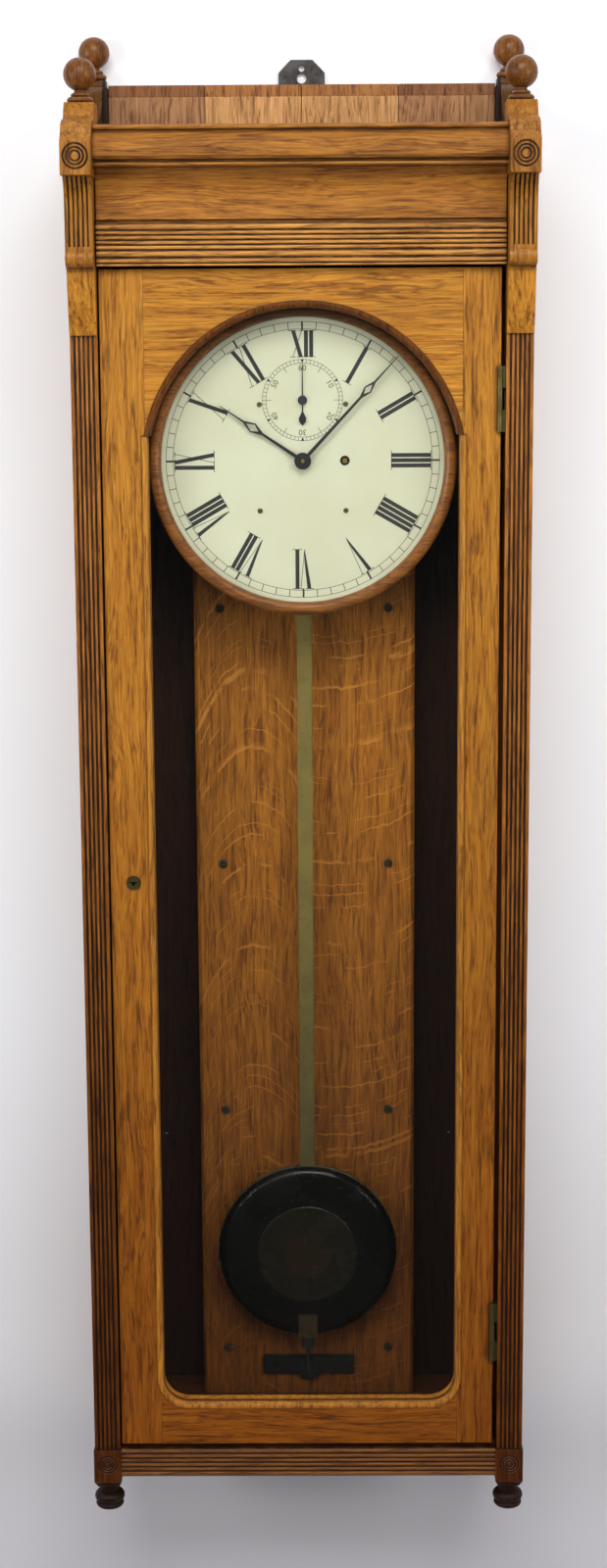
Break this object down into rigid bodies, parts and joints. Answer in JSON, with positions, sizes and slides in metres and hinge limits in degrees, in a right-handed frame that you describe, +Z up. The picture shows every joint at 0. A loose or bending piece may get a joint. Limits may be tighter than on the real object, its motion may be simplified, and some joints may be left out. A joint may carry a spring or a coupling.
{
  "type": "regulator wall clock",
  "caption": "Tall weight-driven wall clock in an oak case with a glazed arched door, round dial with seconds ring and a long pendulum.",
  "frame": {"origin": "centre of the hanger plate's hole, in the plane of the wall", "axes": "+X to the right seen from the front, +Y into the wall, +Z up"},
  "size_m": [0.4892, 0.254, 1.6421],
  "materials": {
    "oak": "satin, golden oak with dark pores",
    "oak_fluted": "satin, darker in the grooves",
    "oak_turned": "gloss, turned",
    "oak_back": "dull, shaded inside",
    "oak_rayed": "satin, quarter-sawn with ray figure",
    "iron": "dull, blackened",
    "steel": "satin",
    "brass": "satin",
    "old_brass": "dull, aged",
    "rod_gilt": "satin, olive gilt",
    "bob_dark": "polished, near black",
    "dial_cream": "satin paint",
    "hand_black": "satin",
    "glass": "clear"
  },
  "bodies": {
    "case": {"back_planks": "oak_back", "hanger_plate": "iron", "hanger_screws": "steel", "side_left": "oak", "side_right": "oak", "post_left": "oak_fluted", "post_right": "oak_fluted", "bracket_left": "oak", "bracket_right": "oak", "base_blocks": "oak_fluted", "bun_feet": "oak_turned", "ball_finials": "oak_turned", "crown_moulding": "oak", "frieze": "oak", "upper_reeded_rail": "oak_fluted", "lower_reeded_rail": "oak_fluted", "top_board": "oak", "bottom_board": "oak", "chute_rails": "oak_back", "pendulum_board": "oak_rayed", "board_bolts": "iron", "dial_ring": "oak_turned", "dial_board": "oak_back", "dial_plate": "dial_cream", "dial_screws": "brass", "front_plate": "brass", "back_plate": "brass", "plate_pillars": "brass", "movement_bracket": "iron", "suspension_spring": "steel", "beat_scale": "iron", "pulley_block": "iron", "case_hinge_leaves": "old_brass", "cable_runs": "steel", "cable_lead": "steel"},
    "door": {"door_stile_left": "oak", "door_stile_right": "oak", "door_top_rail": "oak", "door_bottom_rail": "oak", "door_moulding": "oak_fluted", "door_glass": "glass", "door_hinge_leaves": "old_brass", "door_lock": "old_brass"},
    "bolt": {"lock_bolt": "brass"},
    "great": {"great_wheel": "brass"},
    "drum": {"winding_drum": "brass"},
    "centre": {"centre_wheel": "brass", "minute_hand": "hand_black"},
    "third": {"third_wheel": "brass"},
    "escape": {"escape_wheel": "brass", "seconds_hand": "hand_black"},
    "minute_work": {"minute_wheel": "brass"},
    "hour": {"hour_wheel": "brass", "hour_hand": "hand_black"},
    "verge": {"pallets": "steel"},
    "pendulum": {"pendulum_rod": "rod_gilt", "pendulum_bob": "bob_dark"},
    "weight": {"weight": "iron"},
    "weight_wheel": {"weight_pulley": "brass"},
    "top_wheel": {"top_pulley": "brass"}
  },
  "joints": [
    {"name": "door_hinge", "type": "hinge", "parent": "case", "child": "door", "pos_m": [0.207, -0.1984, -0.87601], "axis": [0, 0, 1], "range_deg": [0, 95]},
    {"name": "lock_bolt_slide", "type": "slide", "parent": "door", "child": "bolt", "axis": [-1, 0, 0], "range_m": [0, 0.007]},
    {"name": "centre_arbor", "type": "hinge", "parent": "case", "child": "centre", "pos_m": [0, -0.1255, -0.423], "axis": [0, 1, 0], "continuous": true},
    {"name": "great_arbor", "type": "hinge", "parent": "case", "child": "great", "pos_m": [0.045, -0.1255, -0.423], "axis": [0, 1, 0], "continuous": true},
    {"name": "third_arbor", "type": "hinge", "parent": "case", "child": "third", "pos_m": [-0.02105, -0.1255, -0.3884], "axis": [0, 1, 0], "continuous": true},
    {"name": "escape_arbor", "type": "hinge", "parent": "case", "child": "escape", "pos_m": [0, -0.1255, -0.359], "axis": [0, 1, 0], "continuous": true},
    {"name": "minute_stud", "type": "hinge", "parent": "case", "child": "minute_work", "pos_m": [0, -0.1255, -0.444], "axis": [0, 1, 0], "continuous": true},
    {"name": "hour_pipe", "type": "hinge", "parent": "case", "child": "hour", "pos_m": [0, -0.1255, -0.423], "axis": [0, 1, 0], "continuous": true},
    {"name": "pendulum_swing", "type": "hinge", "parent": "case", "child": "pendulum", "pos_m": [0, -0.09, -0.331], "axis": [0, 1, 0], "range_deg": [-2, 2]},
    {"name": "pallet_arbor", "type": "hinge", "parent": "case", "child": "verge", "pos_m": [0, -0.106, -0.331], "axis": [0, 1, 0], "range_deg": [-2, 2]},
    {"name": "weight_drop", "type": "slide", "parent": "case", "child": "weight", "axis": [0, 0, -1], "range_m": [0, 0.829], "deforming": ["cable_runs"]},
    {"name": "drum_arbor", "type": "hinge", "parent": "case", "child": "drum", "pos_m": [0.045, -0.1255, -0.423], "axis": [0, 1, 0], "range_deg": [-5759, 0]},
    {"name": "weight_pulley_pin", "type": "hinge", "parent": "weight", "child": "weight_wheel", "pos_m": [0, -0.032, -0.32303], "axis": [0, 1, 0], "range_deg": [0, 2376]},
    {"name": "top_pulley_pin", "type": "hinge", "parent": "case", "child": "top_wheel", "pos_m": [0.0413, -0.0755, -0.16034], "axis": [0.8981, 0.4398, 0], "range_deg": [-1963, 0]}
  ],
  "couplings": [
    {"joint": "great_arbor", "follows": "centre_arbor", "ratio": -0.083333},
    {"joint": "third_arbor", "follows": "centre_arbor", "ratio": -8},
    {"joint": "escape_arbor", "follows": "centre_arbor", "ratio": 60},
    {"joint": "minute_stud", "follows": "centre_arbor", "ratio": -0.25},
    {"joint": "hour_pipe", "follows": "centre_arbor", "ratio": 0.083333},
    {"joint": "pallet_arbor", "follows": "pendulum_swing", "ratio": 1},
    {"joint": "drum_arbor", "follows": "weight_drop", "rad_per_m": -121.21},
    {"joint": "weight_pulley_pin", "follows": "weight_drop", "rad_per_m": 50},
    {"joint": "top_pulley_pin", "follows": "weight_drop", "rad_per_m": -41.293}
  ]
}
